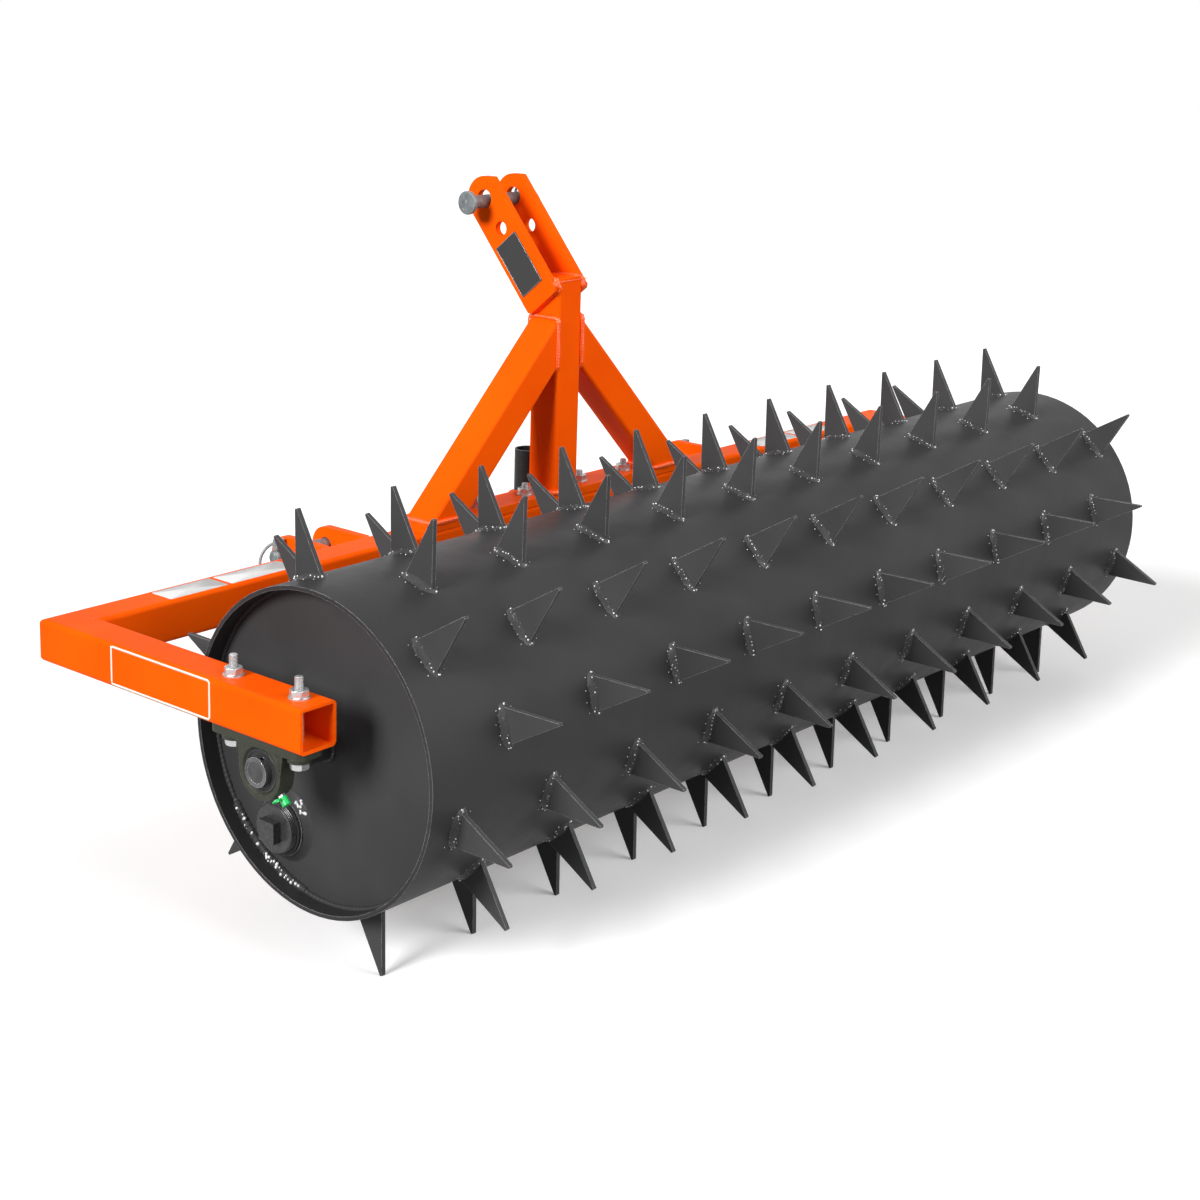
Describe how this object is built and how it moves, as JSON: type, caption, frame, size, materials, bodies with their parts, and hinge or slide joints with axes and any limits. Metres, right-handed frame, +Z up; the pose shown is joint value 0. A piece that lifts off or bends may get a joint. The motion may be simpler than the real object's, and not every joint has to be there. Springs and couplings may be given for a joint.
{
  "type": "drum spike aerator",
  "caption": "Tractor-mounted lawn aerator: a hollow drum with rows of flat spikes turns in two bearings under a tube frame with a three-point hitch mast and a parking stand.",
  "frame": {"origin": "on the ground, below the middle of the machine's overall box, with the machine standing on two rows of spikes and on its stand", "axes": "+X along the drum towards its right-hand end as seen by a driver facing forward, +Y forward towards the tractor, +Z up"},
  "size_m": [1.772, 0.7446, 0.8124],
  "materials": {
    "frame_paint": "bright orange gloss paint",
    "drum_paint": "dark grey satin paint",
    "bright_steel": "ground steel",
    "ball_steel": "polished bearing steel",
    "black_rubber": "black rubber",
    "black_steel": "black paint",
    "cast_housing": "olive grey cast iron",
    "zinc_plate": "bright zinc plate",
    "pin_steel": "dull zinc plate",
    "green_cap": "soft green plastic",
    "grey_plate": "blank dark grey plate"
  },
  "bodies": {
    "frame": {"front_bar": "frame_paint", "side_arm_left": "frame_paint", "side_arm_right": "frame_paint", "lug_left_outer": "frame_paint", "lug_left_inner": "frame_paint", "lug_right_inner": "frame_paint", "lug_right_outer": "frame_paint", "base_plate": "frame_paint", "mast_post": "frame_paint", "post_cap": "frame_paint", "brace_left": "frame_paint", "brace_right": "frame_paint", "clevis_plate_left": "frame_paint", "clevis_plate_right": "frame_paint", "stand_sleeve": "frame_paint", "stand_clamp_nut": "frame_paint", "data_plate": "grey_plate", "housing_left": "cast_housing", "housing_right": "cast_housing", "grease_nipples": "zinc_plate", "bearing_outer_left": "bright_steel", "bearing_outer_right": "bright_steel", "bearing_seals": "black_rubber", "bearing_bolts": "zinc_plate", "hitch_bolts": "zinc_plate", "flat_washers": "zinc_plate", "hex_nuts": "zinc_plate"},
    "drum": {"drum_shell": "drum_paint", "end_plate_left": "drum_paint", "end_plate_right": "drum_paint", "shaft": "bright_steel", "spike_rows_01_02": "drum_paint", "spike_rows_03_04": "drum_paint", "spike_rows_05_06": "drum_paint", "spike_rows_07_08": "drum_paint", "spike_rows_09_10": "drum_paint", "spike_rows_11_12": "drum_paint", "fill_bung": "drum_paint", "bearing_inner_left": "bright_steel", "bearing_inner_right": "bright_steel", "set_screws": "black_steel"},
    "balls_left": {"bearing_balls_left": "ball_steel"},
    "balls_right": {"bearing_balls_right": "ball_steel"},
    "plug_washer": {"seal_washer": "black_rubber"},
    "plug": {"fill_plug": "black_steel"},
    "grease_cap_left": {"grease_cap_left": "green_cap"},
    "grease_cap_right": {"grease_cap_right": "green_cap"},
    "top_pin": {"top_link_pin": "pin_steel"},
    "top_peg": {"top_lynch_peg": "zinc_plate"},
    "top_ring": {"top_lynch_ring": "zinc_plate"},
    "left_pin": {"lower_pin_left": "pin_steel"},
    "left_peg": {"left_lynch_peg": "zinc_plate"},
    "left_ring": {"left_lynch_ring": "zinc_plate"},
    "right_pin": {"lower_pin_right": "pin_steel"},
    "right_peg": {"right_lynch_peg": "zinc_plate"},
    "right_ring": {"right_lynch_ring": "zinc_plate"},
    "stand": {"stand_leg": "black_steel", "stand_foot": "black_steel"},
    "clamp_screw": {"stand_clamp_screw": "zinc_plate"}
  },
  "joints": [
    {"name": "drum_spin", "type": "hinge", "parent": "frame", "child": "drum", "pos_m": [0, -0.11284, 0.25942], "axis": [1, 0, 0], "continuous": true},
    {"name": "balls_left_spin", "type": "hinge", "parent": "frame", "child": "balls_left", "pos_m": [-0.86, -0.11284, 0.25942], "axis": [1, 0, 0], "continuous": true},
    {"name": "balls_right_spin", "type": "hinge", "parent": "frame", "child": "balls_right", "pos_m": [0.86, -0.11284, 0.25942], "axis": [1, 0, 0], "continuous": true},
    {"name": "plug_travel", "type": "slide", "parent": "drum", "child": "plug_washer", "axis": [-1, 0, 0], "range_m": [0, 0.0173]},
    {"name": "plug_turn", "type": "hinge", "parent": "plug_washer", "child": "plug", "pos_m": [-0.7725, -0.04834, 0.15042], "axis": [-1, 0, 0], "range_deg": [0, 2700]},
    {"name": "grease_cap_left_pull", "type": "slide", "parent": "frame", "child": "grease_cap_left", "axis": [0, -0.7071, -0.7071], "range_m": [0, 0.02]},
    {"name": "grease_cap_right_pull", "type": "slide", "parent": "frame", "child": "grease_cap_right", "axis": [0, -0.7071, -0.7071], "range_m": [0, 0.02]},
    {"name": "top_pin_slide", "type": "slide", "parent": "frame", "child": "top_pin", "axis": [1, 0, 0], "range_m": [-0.0025, 0.031]},
    {"name": "top_peg_lift", "type": "slide", "parent": "top_pin", "child": "top_peg", "axis": [0, 0, 1], "range_m": [0, 0.035]},
    {"name": "top_ring_swing", "type": "hinge", "parent": "top_peg", "child": "top_ring", "pos_m": [0.047, 0.33976, 0.79372], "axis": [0, -1, 0], "range_deg": [-30, 150]},
    {"name": "left_pin_slide", "type": "slide", "parent": "frame", "child": "left_pin", "axis": [1, 0, 0], "range_m": [0, 0.0027]},
    {"name": "left_peg_lift", "type": "slide", "parent": "left_pin", "child": "left_peg", "axis": [0, 0, 1], "range_m": [0, 0.038]},
    {"name": "left_ring_swing", "type": "hinge", "parent": "left_peg", "child": "left_ring", "pos_m": [-0.446, 0.32716, 0.34597], "axis": [0, 1, 0], "range_deg": [-30, 150]},
    {"name": "right_pin_slide", "type": "slide", "parent": "frame", "child": "right_pin", "axis": [-1, 0, 0], "range_m": [0, 0.0027]},
    {"name": "right_peg_lift", "type": "slide", "parent": "right_pin", "child": "right_peg", "axis": [0, 0, 1], "range_m": [0, 0.038]},
    {"name": "right_ring_swing", "type": "hinge", "parent": "right_peg", "child": "right_ring", "pos_m": [0.446, 0.32716, 0.34597], "axis": [0, -1, 0], "range_deg": [-30, 150]},
    {"name": "stand_slide", "type": "slide", "parent": "frame", "child": "stand", "axis": [0, 0, 1], "range_m": [0, 0.23]},
    {"name": "clamp_turn", "type": "hinge", "parent": "frame", "child": "clamp_screw", "pos_m": [0, 0.27816, 0.26642], "axis": [0, 1, 0], "range_deg": [-720, 720]}
  ],
  "couplings": [
    {"joint": "balls_left_spin", "follows": "drum_spin", "ratio": 0.3982},
    {"joint": "balls_right_spin", "follows": "drum_spin", "ratio": 0.3982},
    {"joint": "plug_turn", "follows": "plug_travel", "rad_per_m": 2721.2}
  ]
}
